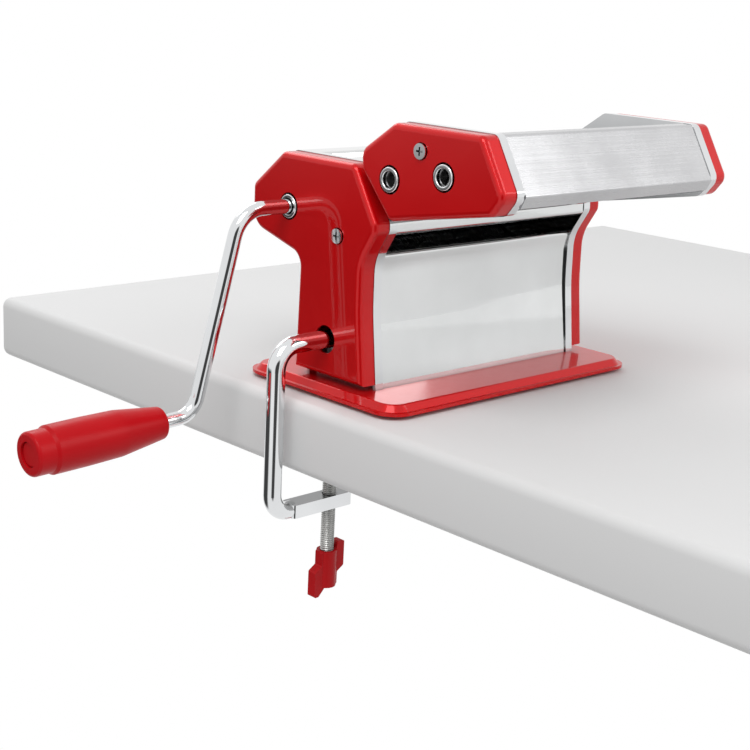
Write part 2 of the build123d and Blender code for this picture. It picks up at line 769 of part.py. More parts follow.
shaft_end = (rod_depth - face_x, roller_y, roller_z)
upper_corner = (-face_x - crank_reach, roller_y, roller_z)
lower_corner = (upper_corner[0] - crank_lean, roller_y + crank_swing, roller_z - crank_drop)
droop = radians(handle_droop)
grip_direction = Vector(-cos(droop), 0, -sin(droop))
grip_start = Vector(*lower_corner) + grip_direction * handle_start
rod_end = grip_start + grip_direction * (handle_length - handle_recess_depth)

with BuildPart() as crank_rod:
    with BuildLine():
        FilletPolyline(
            shaft_end, upper_corner, lower_corner, rod_end, radius=[upper_bend_radius, lower_bend_radius]
        )
    with BuildSketch(Plane(origin=shaft_end, z_dir=(-1, 0, 0))):
        Circle(rod_diameter / 2)
    sweep()
    for sign in (-1, 1):
        block(
            (roller_y + sign * (drive_flat / 2 + 2.0), roller_z), 4.0, rod_diameter * 1.5,
            shaft_end[0] + 1.0, shaft_end[0] - drive_flat_length, Mode.SUBTRACT,
        )
export(crank_rod, "crank_rod")

with BuildPart() as crank_handle:
    grip_radius, end_radius, inner_radius = handle_diameter / 2, handle_end_diameter / 2, handle_inner_diameter / 2
    cap_start = handle_length - handle_cap
    profile_normal = (-sin(droop), 0, cos(droop))
    with BuildSketch(Plane(origin=grip_start, x_dir=(0, 1, 0), z_dir=profile_normal)) as profile:
        with BuildLine():
            FilletPolyline(
                (0, 0),
                (inner_radius, 0),
                (grip_radius - 0.4, handle_taper),
                (grip_radius, handle_length * 0.6),
                (grip_radius, cap_start - 0.8),
                (end_radius, cap_start + 0.8),
                (end_radius, handle_length),
                (0, handle_length),
                radius=[0, 1.5, 20.0, 60.0, 0.5, 0.5, 1.8, 0],
                close=True,
            )
        make_face()
    grip_axis = Axis(origin=tuple(grip_start), direction=tuple(grip_direction))
    revolve(profile.sketch, axis=grip_axis)
    with BuildSketch(Plane(origin=grip_start - grip_direction, z_dir=grip_direction)) as hole:
        Circle(rod_diameter / 2 + rod_fit)
    extrude(hole.sketch, amount=handle_length + 5, mode=Mode.SUBTRACT)
    recess_plane = Plane(origin=rod_end, z_dir=grip_direction)
    with BuildSketch(recess_plane) as recess:
        Circle(handle_recess_diameter / 2)
    extrude(recess.sketch, amount=handle_recess_depth + 1, mode=Mode.SUBTRACT)
export(crank_handle, "crank_handle")

with BuildPart() as handle_washer:
    with BuildSketch(Plane(origin=rod_end + grip_direction * 0.2, z_dir=grip_direction)) as washer:
        Circle(handle_recess_diameter / 2 - 0.6)
    extrude(washer.sketch, amount=1.2)
    with BuildSketch(Plane(origin=rod_end, z_dir=grip_direction)) as rivet:
        Circle(rod_diameter / 2 - 1.2)
    extrude(rivet.sketch, amount=0.2)
export(handle_washer, "handle_washer")

# ---------------------------------------------------------------- table clamp

clamp_z = base_height + clamp_height
column_x = -face_x - clamp_reach
bar_z = clamp_z - clamp_drop
screw_x = column_x + clamp_screw_reach
bar_start = column_x + clamp_lower_bend_radius
with BuildPart() as clamp_rod:
    with BuildLine():
        FilletPolyline(
            (clamp_depth - face_x, clamp_y, clamp_z),
            (column_x, clamp_y, clamp_z),
            (column_x, clamp_y, bar_z),
            (bar_start + 3.0, clamp_y, bar_z),
            radius=[clamp_bend_radius, clamp_lower_bend_radius],
        )
    with BuildSketch(Plane(origin=(clamp_depth - face_x, clamp_y, clamp_z), z_dir=(-1, 0, 0))):
        Circle(clamp_rod_diameter / 2)
    sweep()
    bar_length = screw_x + clamp_bar_tip - bar_start
    with BuildSketch(Plane.XY.offset(bar_z - clamp_bar_thickness / 2)):
        with Locations((bar_start + bar_length / 2, clamp_y)):
            RectangleRounded(bar_length, clamp_bar_width, clamp_bar_width / 4)
    extrude(amount=clamp_bar_thickness)
    with BuildSketch(Plane.XY.offset(bar_z - clamp_bar_thickness)):
        with Locations((screw_x, clamp_y)):
            Circle(screw_diameter / 2 + run_fit)
    extrude(amount=clamp_bar_thickness * 2, mode=Mode.SUBTRACT)
export(clamp_rod, "clamp_rod")


def upright(radius, z_start, z_end, mode=Mode.ADD):
    """Round bar on the clamp screw's axis."""
    with BuildSketch(Plane.XY.offset(z_start)) as section:
        with Locations((screw_x, clamp_y)):
            Circle(radius)
    extrude(section.sketch, amount=z_end - z_start, mode=mode)


pad_top = -table_thickness
pad_low = pad_top - pad_thickness
knob_top = bar_z - clamp_bar_thickness / 2 - knob_drop
with BuildPart() as clamp_screw:
    upright(screw_diameter / 2, knob_top - wing_hub_height + 4.0, pad_low - run_gap)
    upright(screw_diameter / 4, pad_low - 1.0, pad_low + 3.0)
export(clamp_screw, "clamp_screw")

with BuildPart() as pad:
    upright(pad_radius, pad_low, pad_top)
    fillet(pad.edges().filter_by(GeomType.CIRCLE), radius=1.0)
    upright(screw_diameter / 4 + run_fit, pad_low, pad_low + 3.0 + run_gap, Mode.SUBTRACT)
export(pad, "pressure_pad")

wing_half = wing_span / 2
hub_low = knob_top - wing_hub_height
wing_points = [
    (-wing_hub_radius, knob_top),
    (wing_hub_radius - 1.0, knob_top),
    (wing_hub_radius, knob_top + wing_rise),
    (wing_half, knob_top + wing_rise),
    (wing_half, knob_top + wing_rise - wing_height + 2.0),
    (wing_hub_radius, knob_top + wing_rise - wing_height - 1.0),
    (wing_hub_radius, hub_low),
    (-wing_hub_radius + 3.0, hub_low),
    (-wing_half + 3.0, hub_low - wing_drop),
    (-wing_half, hub_low - wing_drop),
    (-wing_half, hub_low - wing_drop + wing_height - 2.0),
    (-wing_hub_radius, hub_low - wing_drop + wing_height + 1.0),
]
with BuildPart() as wing_knob:
    upright(wing_hub_radius, hub_low, knob_top)
    with BuildSketch(Plane.XZ.offset(-clamp_y - wing_thickness / 2)) as wings:
        with BuildLine():
            FilletPolyline(*[(screw_x + x, z) for x, z in wing_points], radius=1.0, close=True)
        make_face()
    extrude(wings.sketch, amount=wing_thickness)
    upright(screw_diameter / 2, hub_low + 4.0, knob_top + wing_rise + 1, Mode.SUBTRACT)
export(wing_knob, "wing_knob")

# ---------------------------------------------------------------- cutter attachment

wide_idle_axis = (wide_driven_axis[0] + pair_offset[0], wide_driven_axis[1] + pair_offset[1])
narrow_idle_axis = (narrow_driven_axis[0] + pair_offset[0], narrow_driven_axis[1] + pair_offset[1])
driven_cutters = (wide_driven_axis, narrow_driven_axis)
idle_cutters = (wide_idle_axis, narrow_idle_axis)
cutter_screw_axis = on_slope(*cutter_screw)
cutter_rod_axes = [on_slope(*p) for p in cutter_rods]
idle_journal_radius = 3.5

for side, name in ((-1, "cutter_crank_frame"), (1, "cutter_far_frame")):
    with BuildPart() as frame:
        pan_frame(cutter_outline, side)
        for axis in driven_cutters:
            journal = journal_diameter / 2 if side < 0 else idle_journal_radius
            bar(axis, journal + run_fit, side * (frame_x - 1), side * rim_x, Mode.SUBTRACT)
        for axis in idle_cutters:
            bar(axis, idle_journal_radius + run_fit, side * (frame_x - 1), side * rim_x, Mode.SUBTRACT)
        bar(cutter_screw_axis, screw_shank_radius, side * (frame_x - 1), side * rim_x, Mode.SUBTRACT)
    export(frame, name)

cover(
    cutter_outline, -1, cutter_screw_axis, web_x,
    [(axis, socket_hole_diameter / 2) for axis in driven_cutters],
    "cutter_crank_cover",
)
cover(cutter_outline, 1, cutter_screw_axis, web_x, [], "cutter_far_cover")

with BuildPart() as cutter_screws:
    cover_screw(cutter_screw_axis, -1, frame_x)
    cover_screw(cutter_screw_axis, 1, frame_x)
export(cutter_screws, "cutter_cover_screws")

with BuildPart() as cutter_rods:
    for axis in cutter_rod_axes:
        bar(axis, 2.5, -frame_x, frame_x)
export(cutter_rods, "cutter_tie_rods")

top_front = on_slope(*cutter_top_front)
nose = on_slope(*cutter_nose)
with BuildPart() as cutter_front_panel:
    bent_sheet(
        [
            (top_front[0] + 6.0, top_front[1] + 0.2),
            top_front,
            nose,
            (nose[0] + 3.0, nose[1] - 6.0),
        ],
        [2.5, 1.5],
        Side.LEFT,
        frame_x,
    )
export(cutter_front_panel, "cutter_front_panel")

rear_low = on_slope(*cutter_rear_low)
rear_mid = on_slope(*cutter_rear_mid)
rear_length = hypot(rear_mid[0] - rear_low[0], rear_mid[1] - rear_low[1])
rear_up = ((rear_mid[0] - rear_low[0]) / rear_length, (rear_mid[1] - rear_low[1]) / rear_length)
rear_start = (rear_low[0] + rear_up[0] * 4.0, rear_low[1] + rear_up[1] * 4.0)
rear_stop = (rear_mid[0] - rear_up[0] * 4.5, rear_mid[1] - rear_up[1] * 4.5)
with BuildPart() as cutter_rear_panel:
    bent_sheet(
        [(rear_start[0] - 4.0, rear_start[1] - 1.0), rear_start, rear_stop],
        [1.5],
        Side.LEFT,
        frame_x,
    )
export(cutter_rear_panel, "cutter_rear_panel")



def rear_out(down):
    """Distance of the cutter's rear face from the head's sloping front, at a place along it."""
    place = on_slope(down, 0)
    normal = (rear_up[1], -rear_up[0])
    gap = (rear_low[0] - place[0]) * normal[0] + (rear_low[1] - place[1]) * normal[1]
    facing = rail_out[0] * normal[0] + rail_out[1] * normal[1]
    return gap / facing


channel_inner = rail_head_half + run_gap
channel_outer = channel_inner + rail_wall
lip_edge = rail_stem_half + run_gap
lip_top = rail_lip_gap + rail_lip
channel_floor = rail_head_high + run_gap
with BuildPart() as slide_channel:
    polygon(
        [on_slope(*p) for p in (
            (-lip_edge, rail_lip_gap), (-lip_edge, lip_top),
            (-channel_inner, lip_top), (-channel_inner, channel_floor),
            (channel_inner, channel_floor), (channel_inner, lip_top),
            (lip_edge, lip_top), (lip_edge, rail_lip_gap),
            (channel_outer, rail_lip_gap), (channel_outer, rear_out(channel_outer)),
            (-channel_outer, rear_out(-channel_outer)), (-channel_outer, rail_lip_gap),
        )],
        -sheet_width / 2, sheet_width / 2,
    )
export(slide_channel, "cutter_slide_channel")

roof_height = 1.0
with BuildPart() as hopper_strips:
    roof_y = (wide_idle_axis[0] + narrow_driven_axis[0]) / 2
    roof_z = narrow_driven_axis[1] + cutter_roller_diameter / 2 - 0.6
    block((roof_y, roof_z), 7.0, roof_height, -frame_x, frame_x)
    guide_z = top_front[1] - sheet
    polygon(
        [
            (top_front[0] + 4.5, guide_z), (top_front[0] + 5.5, guide_z),
            (top_front[0] + 4.0, guide_z - 8.0), (top_front[0] + 3.0, guide_z - 8.0),
        ],
        -frame_x, frame_x,
    )
export(hopper_strips, "cutter_hopper_strips")


def cutting_roller(centre, strand, phase, journal, name):
    """Roller of alternating discs and grooves; phase 0 starts with a disc at the left end."""
    core = cutter_roller_diameter / 2 - groove_depth
    disc = cutter_roller_diameter / 2
    half = sheet_width / 2
    points = [(-half, 0), (-half, core)]
    count = int(sheet_width // strand)
    start = -count * strand / 2
    for number in range(phase, count, 2):
        low = start + number * strand + disc_side_gap / 2
        high = low + strand - disc_side_gap
        points += [(low, core), (low, disc), (high, disc), (high, core)]
    points += [(half, core), (half, 0)]
    with BuildPart() as cutter:
        with BuildSketch(Plane(origin=(0, centre[0], centre[1]), x_dir=(1, 0, 0), z_dir=(0, -1, 0))) as profile:
            with BuildLine():
                Polyline(*points, close=True)
            make_face()
        revolve(profile.sketch, axis=Axis((0, centre[0], centre[1]), (1, 0, 0)))
        journal_stop = journal_end if journal > idle_journal_radius else gear_end
        bar(centre, journal, -journal_stop, -half + 1)
        bar(centre, idle_journal_radius, half - 1, web_x + 1.0)
        if journal > idle_journal_radius:
            drive_bore(centre, -1)
    export(cutter, name)


def cutter_gear(centre, journal, turn, name):
    """Gear on the crank side of a cutting roller."""
    with BuildPart() as wheel:
        gear(centre, pair_pitch / 2, cutter_addendum, -gear_x, -gear_end, turn)
        bar(centre, journal, -gear_x, -gear_end, Mode.SUBTRACT)
    export(wheel, name)


pair_angle = degrees(atan2(pair_offset[1], pair_offset[0]))
for kind, strand, driven, idle in (
    ("wide", wide_strand, wide_driven_axis, wide_idle_axis),
    ("narrow", narrow_strand, narrow_driven_axis, narrow_idle_axis),
):
    cutting_roller(driven, strand, 0, journal_diameter / 2, f"{kind}_driven_cutter")
    cutting_roller(idle, strand, 1, idle_journal_radius, f"{kind}_idle_cutter")
    cutter_gear(driven, journal_diameter / 2, pair_angle, f"{kind}_driven_gear")
    cutter_gear(idle, idle_journal_radius, pair_angle + 180 / gear_teeth, f"{kind}_idle_gear")
    socket_ring(driven, f"{kind}_socket")

with BuildPart() as combs:
    comb_reach = cutter_roller_diameter / 2 + run_gap
    for axis, angle_deg in (
        (wide_driven_axis, -60), (wide_idle_axis, -100), (narrow_driven_axis, -75), (narrow_idle_axis, -115),
    ):
        angle = radians(angle_deg)
        out = (cos(angle), sin(angle))
        across = (-out[1] * 0.5, out[0] * 0.5)
        near = (axis[0] + out[0] * comb_reach, axis[1] + out[1] * comb_reach)
        far = (near[0] + out[0] * 4.0, near[1] + out[1] * 4.0)
        polygon(
            [
                (near[0] + across[0], near[1] + across[1]), (far[0] + across[0], far[1] + across[1]),
                (far[0] - across[0], far[1] - across[1]), (near[0] - across[0], near[1] - across[1]),
            ],
            -frame_x, frame_x,
        )
export(combs, "cutter_combs")
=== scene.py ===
import bpy
import bmesh
import json
import math
from mathutils import Matrix, Vector


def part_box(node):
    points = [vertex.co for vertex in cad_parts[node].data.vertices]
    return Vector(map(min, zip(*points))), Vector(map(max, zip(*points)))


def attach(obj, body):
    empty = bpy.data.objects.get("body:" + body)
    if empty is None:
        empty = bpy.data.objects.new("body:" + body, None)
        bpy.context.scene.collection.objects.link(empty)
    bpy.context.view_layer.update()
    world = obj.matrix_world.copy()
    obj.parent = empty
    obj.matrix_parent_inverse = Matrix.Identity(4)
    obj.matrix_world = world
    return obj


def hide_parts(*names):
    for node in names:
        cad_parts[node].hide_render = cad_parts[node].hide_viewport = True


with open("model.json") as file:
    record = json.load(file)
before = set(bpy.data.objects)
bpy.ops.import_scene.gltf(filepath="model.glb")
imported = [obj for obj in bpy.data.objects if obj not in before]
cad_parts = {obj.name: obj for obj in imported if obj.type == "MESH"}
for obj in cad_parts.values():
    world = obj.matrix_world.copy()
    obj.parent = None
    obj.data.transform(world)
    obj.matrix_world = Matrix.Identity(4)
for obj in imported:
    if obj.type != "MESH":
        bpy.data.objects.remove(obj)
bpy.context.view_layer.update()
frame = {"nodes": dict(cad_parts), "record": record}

MM = 0.001


# ---------------------------------------------------------------- node material helpers


class Nodes:
    """A material's node tree, with short calls for the nodes that are used again and again."""

    def __init__(self, name):
        self.mat = bpy.data.materials.new(name)
        self.mat.use_nodes = True
        self.tree = self.mat.node_tree
        self.tree.nodes.clear()
        out = self.tree.nodes.new("ShaderNodeOutputMaterial")
        self.bsdf = self.tree.nodes.new("ShaderNodeBsdfPrincipled")
        self.link(self.bsdf.outputs[0], out.inputs["Surface"])
        self.coord = self.tree.nodes.new("ShaderNodeTexCoord").outputs["Object"]

    def link(self, source, target):
        self.tree.links.new(source, target)

    def put(self, socket, value):
        """Set an input to a number or colour, or link a node's output to it."""
        if isinstance(value, bpy.types.NodeSocket):
            self.link(value, socket)
        else:
            socket.default_value = value

    def stretched(self, scale):
        """The object's coordinates, scaled along each axis."""
        node = self.tree.nodes.new("ShaderNodeMapping")
        node.inputs["Scale"].default_value = scale
        self.link(self.coord, node.inputs["Vector"])
        return node.outputs[0]

    def noise(self, scale, detail=4.0, rough=0.55, vector=None):
        node = self.tree.nodes.new("ShaderNodeTexNoise")
        node.inputs["Scale"].default_value = scale
        node.inputs["Detail"].default_value = detail
        node.inputs["Roughness"].default_value = rough
        self.link(vector or self.coord, node.inputs["Vector"])
        return node.outputs["Fac"]

    def cells(self, scale):
        """Distance to the nearest of many scattered points."""
        node = self.tree.nodes.new("ShaderNodeTexVoronoi")
        node.inputs["Scale"].default_value = scale
        self.link(self.coord, node.inputs["Vector"])
        return node.outputs["Distance"]

    def remap(self, value, low, high, to_low, to_high):
        node = self.tree.nodes.new("ShaderNodeMapRange")
        self.link(value, node.inputs["Value"])
        for key, number in (("From Min", low), ("From Max", high), ("To Min", to_low), ("To Max", to_high)):
            node.inputs[key].default_value = number
        return node.outputs[0]

    def math(self, kind, first, second):
        node = self.tree.nodes.new("ShaderNodeMath")
        node.operation = kind
        self.put(node.inputs[0], first)
        self.put(node.inputs[1], second)
        return node.outputs[0]

    def mix(self, fac, first, second):
        """Colour between first, where fac is 0, and second, where it is 1."""
        node = self.tree.nodes.new("ShaderNodeMix")
        node.data_type = "RGBA"
        self.put(node.inputs["Factor"], fac)
        for socket, colour in ((node.inputs[6], first), (node.inputs[7], second)):
            self.put(socket, colour + (1,) if isinstance(colour, tuple) else colour)
        return node.outputs[2]

    def clouded(self, scale, detail, first, second):
        """Soft cloudy change between two colours."""
        return self.mix(self.remap(self.noise(scale, detail), 0.3, 0.7, 0, 1), first, second)

    # lighter tone laid on convex edges
    def worn_edge(self, low, high, share, tone, edge_tone):
        """tone, with a share of edge_tone on convex edges."""
        return self.mix(self.math("MULTIPLY", self.edge(low, high), share), tone, edge_tone)

    def edge(self, low, high):
        """About 1 on convex edges and 0 elsewhere."""
        node = self.tree.nodes.new("ShaderNodeNewGeometry")
        return self.remap(node.outputs["Pointiness"], low, high, 0.0, 1.0)

    def crevice(self, distance, depth):
        """Painted shade: depth in tight gaps and corners, falling to 0 on open faces."""
        node = self.tree.nodes.new("ShaderNodeAmbientOcclusion")
        node.samples = 16
        node.inputs["Distance"].default_value = distance
        return self.remap(node.outputs["AO"], 0.25, 0.8, depth, 0.0)

    def bump(self, height, strength, distance, base=None):
        node = self.tree.nodes.new("ShaderNodeBump")
        node.inputs["Strength"].default_value = strength
        node.inputs["Distance"].default_value = distance
        self.link(height, node.inputs["Height"])
        if base is not None:
            self.link(base, node.inputs["Normal"])
        return node.outputs[0]

    def set(self, **values):
        """Fill the shader's inputs, named with _ for a space, and give the material."""
        for key, value in values.items():
            self.put(self.bsdf.inputs[key.replace("_", " ")], value)
        return self.mat


def red_lacquer():
    """Deep candy red with a fine flake under a smooth clear coat."""
    n = Nodes("red_lacquer")
    tone = n.clouded(9, 2, (0.58, 0.0016, 0.0034), (0.64, 0.0024, 0.0048))
    tone = n.mix(n.remap(n.cells(3800), 0.1, 0.5, 0.03, 0.0), tone, (0.75, 0.01, 0.01))
    # lighter red on convex edges
    tone = n.worn_edge(0.53, 0.64, 0.2, tone, (0.70, 0.02, 0.02))
    # painted shade: the red turns near-black in tight gaps and corners
    tone = n.mix(n.crevice(2.5 * MM, 0.35), tone, (0.08, 0.0, 0.0))
    dust = n.noise(160, 6, 0.7)
    coat = n.bump(n.noise(30, 1), 0.008, 0.0003)
    return n.set(
        Base_Color=tone, Metallic=0.3, Roughness=n.remap(dust, 0.3, 0.75, 0.34, 0.38),
        Coat_Weight=0.6, Coat_Roughness=n.remap(dust, 0.4, 0.8, 0.015, 0.035), Coat_IOR=1.45,
        Specular_IOR_Level=0.06, Normal=coat,
    )


def red_grip():
    """Moulded red plastic with a soft gloss and a faint texture."""
    n = Nodes("red_grip")
    tone = n.clouded(24, 2, (0.50, 0.0026, 0.0066), (0.56, 0.0036, 0.0085))
    # lighter red on convex edges
    tone = n.worn_edge(0.52, 0.62, 0.25, tone, (0.55, 0.02, 0.02))
    grain = n.noise(1400, 3, 0.6)
    wear = n.noise(70, 6, 0.7)
    return n.set(
        Base_Color=tone, Roughness=n.remap(wear, 0.3, 0.75, 0.30, 0.42), Specular_IOR_Level=0.16,
        Normal=n.bump(grain, 0.05, 0.0002),
    )


def black_plastic():
    """Moulded black plastic with a fine texture and paler edges."""
    n = Nodes("black_plastic")
    tone = n.clouded(40, 3, (0.022, 0.022, 0.022), (0.0352, 0.0352, 0.0352))
    # paler grey on convex edges
    tone = n.worn_edge(0.51, 0.60, 0.5, tone, (0.10, 0.10, 0.10))
    return n.set(
        Base_Color=tone, Roughness=n.remap(n.noise(90, 5, 0.7), 0.3, 0.7, 0.40, 0.58),
        Normal=n.bump(n.noise(1500, 3), 0.12, 0.0002),
    )


def nylon():
    """Off-white bearing nylon with a fine texture."""
    n = Nodes("white_nylon")
    tone = n.clouded(25, 4, (0.70, 0.69, 0.64), (0.78, 0.77, 0.73))
    return n.set(
        Base_Color=tone, Roughness=n.remap(n.noise(120, 4), 0.3, 0.7, 0.42, 0.58), Subsurface_Weight=0.05,
        Normal=n.bump(n.noise(900, 3), 0.08, 0.0002),
    )


def rubber():
    """Dull dark rubber with a coarse texture."""
    n = Nodes("rubber")
    tone = n.clouded(30, 4, (0.022, 0.022, 0.022), (0.04, 0.04, 0.04))
    return n.set(
        Base_Color=tone, Roughness=n.remap(n.noise(60, 5), 0.3, 0.7, 0.7, 0.9),
        Normal=n.bump(n.noise(700, 4), 0.2, 0.0003),
    )


def metal(name, dark, light, rough, grain_scale=None, grain=0.0, ripple=0.0, wear=0.25):
    """Bare or plated metal between two tones, with smudges of the two roughnesses.

    grain_scale stretches fine lines along the axis with the smallest number, grain is their depth and
    wear their share in the colour. ripple is the depth of a slow wave in the sheet. Gaps get painted shade.
    """
    n = Nodes(name)
    tone = n.clouded(18, 4, dark, light)
    smudge = n.noise(35, 6, 0.72)
    roughness = n.remap(smudge, 0.32, 0.75, rough[0], rough[1])
    normal = None
    if grain_scale:
        lines = n.noise(1.0, 4, 0.6, n.stretched(grain_scale))
        tone = n.mix(n.remap(lines, 0.35, 0.65, 0.0, wear), tone, tuple(c * 0.7 for c in dark))
        roughness = n.math("ADD", roughness, n.remap(lines, 0.3, 0.7, 0.0, rough[1] * 0.4))
        normal = n.bump(lines, grain, 0.0001)
    if ripple:
        normal = n.bump(n.noise(22, 2), ripple, 0.001, normal)
    # painted shade: the metal turns near-black in tight gaps and corners
    tone = n.mix(n.crevice(3.5 * MM, 0.85), tone, (0.02, 0.02, 0.02))
    values = dict(Base_Color=tone, Metallic=1.0, Roughness=roughness)
    if normal is not None:
        values["Normal"] = normal
    return n.set(**values)


def pale_paint():
    """Off-white paint of the dial's numbers."""
    n = Nodes("number_paint")
    tone = n.clouded(300, 3, (0.62, 0.62, 0.60), (0.76, 0.76, 0.74))
    return n.set(Base_Color=tone, Roughness=n.remap(n.noise(200, 4), 0.3, 0.7, 0.4, 0.6))


def pale_table():
    """Pale table top with a faint cloudiness."""
    n = Nodes("pale_table")
    tone = n.clouded(3, 3, (0.80, 0.80, 0.80), (0.788, 0.788, 0.788))
    return n.set(Base_Color=tone, Roughness=0.55, Specular_IOR_Level=0.3)


materials = {
    "red_paint": red_lacquer(),
    "red_plastic": red_grip(),
    "black_plastic": black_plastic(),
    "rubber": rubber(),
    "white_nylon": nylon(),
    "chromed_frame": metal("bright_chrome", (0.66, 0.67, 0.68), (0.76, 0.77, 0.78), (0.03, 0.08)),
    "chromed_steel": metal("chromed_steel", (0.68, 0.69, 0.70), (0.78, 0.79, 0.80), (0.04, 0.10)),
    "polished_sheet": metal(
        "polished_sheet", (0.68, 0.69, 0.69), (0.76, 0.77, 0.77), (0.03, 0.09), ripple=0.012
    ),
    "zinc_steel": metal(
        "zinc_steel", (0.45, 0.45, 0.44), (0.62, 0.62, 0.60), (0.22, 0.38), (300, 300, 300), 0.06, 0.0, 0.2
    ),
    "roller_steel": metal(
        "roller_steel", (0.50, 0.50, 0.51), (0.62, 0.62, 0.63), (0.16, 0.28), (1800, 60, 60), 0.08, 0.0, 0.3
    ),
    "cutter_steel": metal(
        "cutter_steel", (0.46, 0.46, 0.47), (0.58, 0.58, 0.58), (0.20, 0.32), (2200, 60, 60), 0.10, 0.0, 0.3
    ),
    "gear_steel": metal(
        "gear_steel", (0.30, 0.30, 0.31), (0.44, 0.44, 0.45), (0.28, 0.45), (500, 500, 500), 0.10, 0.0, 0.3
    ),
    "spring_steel": metal("spring_steel", (0.30, 0.30, 0.31), (0.42, 0.42, 0.43), (0.2, 0.35)),
}

brushed_sheet = metal(
    "brushed_sheet", (0.52, 0.52, 0.53), (0.60, 0.60, 0.61), (0.17, 0.25), (12, 2600, 2600), 0.02, 0.0, 0.06
)
BRUSHED_NODES = ("cutter_front_panel", "cutter_rear_panel", "cutter_hopper_strips", "rear_panel")

slot_of = {item["node"]: item["material_slot"] for item in frame["record"]["subparts"]}
for node, obj in frame["nodes"].items():
    obj.data.materials.clear()
    obj.data.materials.append(brushed_sheet if node in BRUSHED_NODES else materials[slot_of[node]])

# ---------------------------------------------------------------- clamp screw's thread

THREAD_PITCH = 1.25 * MM  # the lead that the clamp's joints are coupled with
THREAD_DEPTH = 0.55 * MM
THREAD_CHAMFER = 0.8 * MM
THREAD_TURN_STEPS = 30
THREAD_PITCH_STEPS = 6


def threaded_rod(name, centre, radius, low, high, mat):
    """Rod with a helical thread along its whole length and a chamfer at both ends."""
    rows = int((high - low) / THREAD_PITCH * THREAD_PITCH_STEPS)
    bm = bmesh.new()
    rings = []
    for row in range(rows + 1):
        z = low + (high - low) * row / rows
        end = min(z - low, high - z)
        limit = min(radius, radius - THREAD_CHAMFER + end)
        ring = []
        for step in range(THREAD_TURN_STEPS):
            angle = 2 * math.pi * step / THREAD_TURN_STEPS
            phase = (z / THREAD_PITCH - step / THREAD_TURN_STEPS) % 1.0
            groove = THREAD_DEPTH * abs(2 * phase - 1)
            r = min(radius - groove, limit)
            x, y = centre[0] + r * math.cos(angle), centre[1] + r * math.sin(angle)
            ring.append(bm.verts.new((x, y, z)))
        rings.append(ring)
    for first, second in zip(rings, rings[1:]):
        for i in range(THREAD_TURN_STEPS):
            j = (i + 1) % THREAD_TURN_STEPS
            bm.faces.new((first[i], first[j], second[j], second[i]))
    bm.faces.new(list(reversed(rings[0])))
    bm.faces.new(rings[-1])
    mesh = bpy.data.meshes.new(name)
    bm.to_mesh(mesh)
    bm.free()
    mesh.materials.append(mat)
    obj = bpy.data.objects.new(name, mesh)
    bpy.context.collection.objects.link(obj)
    return obj


screw_low, screw_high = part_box("clamp_screw")
screw_axis = ((screw_low[0] + screw_high[0]) / 2, (screw_low[1] + screw_high[1]) / 2)
thread = threaded_rod(
    "clamp_screw_thread", screw_axis, (screw_high[0] - screw_low[0]) / 2, screw_low[2], screw_high[2],
    materials["zinc_steel"],
)
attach(thread, "screw")
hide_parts("clamp_screw")

# ---------------------------------------------------------------- numbers on the regulator's dial

DIAL_NUMBERS = range(1, 10)
DIAL_STEP = math.radians(36)
NUMBER_HEIGHT = 3.4 * MM
NUMBER_DEPTH = 0.12 * MM
NUMBER_MARGIN = 0.4 * MM + 0.62 * NUMBER_HEIGHT  # from the dial's rim to a number's middle


def dial_number(value, centre, radius, face_x, angle, mat):
    """Raised number on the dial's outer face, upright when its place is at the top."""
    text = bpy.data.curves.new("number_text_%d" % value, "FONT")
    text.body = str(value)
    text.size = NUMBER_HEIGHT
    text.extrude = NUMBER_DEPTH
    text.align_x = "CENTER"
    text.align_y = "CENTER"
    scratch = bpy.data.objects.new("number_scratch", text)
    bpy.context.collection.objects.link(scratch)
    graph = bpy.context.evaluated_depsgraph_get()
    mesh = bpy.data.meshes.new_from_object(scratch.evaluated_get(graph))
    bpy.data.objects.remove(scratch)
    radial = Vector((0, math.sin(angle), math.cos(angle)))
    normal = Vector((1, 0, 0))
    across = radial.cross(normal)
    turn = Matrix((across, radial, normal)).transposed().to_4x4()
    place = Vector((face_x, centre[0], centre[1])) + radial * radius
    mesh.transform(Matrix.Translation(place) @ turn)
    mesh.materials.clear()
    mesh.materials.append(mat)
    obj = bpy.data.objects.new("dial_number_%d" % value, mesh)
    bpy.context.collection.objects.link(obj)
    return obj


dial_low, dial_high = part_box("regulator_dial")
dial_centre = ((dial_low[1] + dial_high[1]) / 2, (dial_low[2] + dial_high[2]) / 2)
dial_radius = (dial_high[2] - dial_low[2]) / 2
number_paint = pale_paint()
for number in DIAL_NUMBERS:
    piece = dial_number(
        number, dial_centre, dial_radius - NUMBER_MARGIN, dial_high[0] - NUMBER_DEPTH / 2,
        -DIAL_STEP * (number - 1), number_paint,
    )
    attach(piece, "housing")

# ---------------------------------------------------------------- stage: table top

TABLE_LOW = (-0.115, -0.95, -0.040)
TABLE_HIGH = (0.535, 0.305, 0.0)
TABLE_EDGE_RADIUS = 0.006


def rounded_slab(name, low, high, radius, mat):
    """Box with all its edges rounded."""
    bm = bmesh.new()
    bmesh.ops.create_cube(bm, size=1.0)
    centre = [(a + b) / 2 for a, b in zip(low, high)]
    size = [b - a for a, b in zip(low, high)]
    for v in bm.verts:
        v.co = Vector((centre[i] + v.co[i] * size[i] for i in range(3)))
    bmesh.ops.bevel(bm, geom=bm.edges[:], offset=radius, segments=6, profile=0.5, affect="EDGES")
    mesh = bpy.data.meshes.new(name)
    bm.to_mesh(mesh)
    bm.free()
    for face in mesh.polygons:
        face.use_smooth = True
    mesh.materials.append(mat)
    obj = bpy.data.objects.new(name, mesh)
    bpy.context.collection.objects.link(obj)


rounded_slab("table", TABLE_LOW, TABLE_HIGH, TABLE_EDGE_RADIUS, pale_table())

# ---------------------------------------------------------------- light and camera

world = bpy.data.worlds.new("studio")
bpy.context.scene.world = world
world.use_nodes = True
tree = world.node_tree
tree.nodes.clear()


